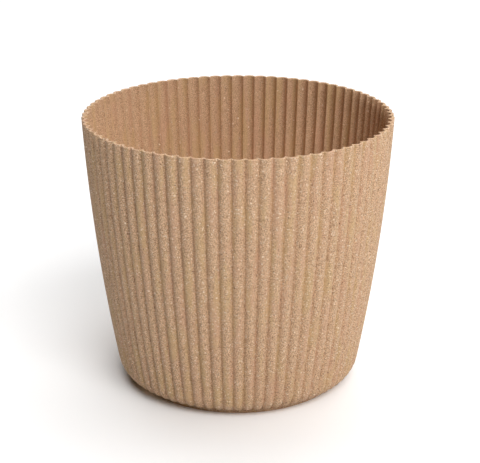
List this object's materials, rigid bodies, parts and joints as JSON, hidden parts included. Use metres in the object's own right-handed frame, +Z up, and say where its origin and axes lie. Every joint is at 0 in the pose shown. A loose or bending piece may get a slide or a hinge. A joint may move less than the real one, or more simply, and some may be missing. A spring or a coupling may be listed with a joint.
{
  "type": "plastic plant pot",
  "caption": "Round fluted plant pot of wood-fibre-filled plastic, tapered and convex, with a recessed foot ring and a lift-out stopper in its drain hole.",
  "frame": {"origin": "centre of the foot ring, on the surface the pot stands on", "axes": "+Z up along the pot's axis; +X and +Y are level and each points at a rib's crest"},
  "size_m": [0.15, 0.15, 0.134],
  "materials": {
    "wood_filled_plastic": "matte tan plastic with fine light and dark wood-fibre specks",
    "stopper_rubber": "matte dark brown soft rubber"
  },
  "bodies": {
    "pot": {"pot_shell": "wood_filled_plastic"},
    "stopper": {"drain_stopper": "stopper_rubber"}
  },
  "joints": [
    {"name": "stopper_lift", "type": "slide", "parent": "pot", "child": "stopper", "axis": [0, 0, 1], "range_m": [0, 0.15]}
  ]
}
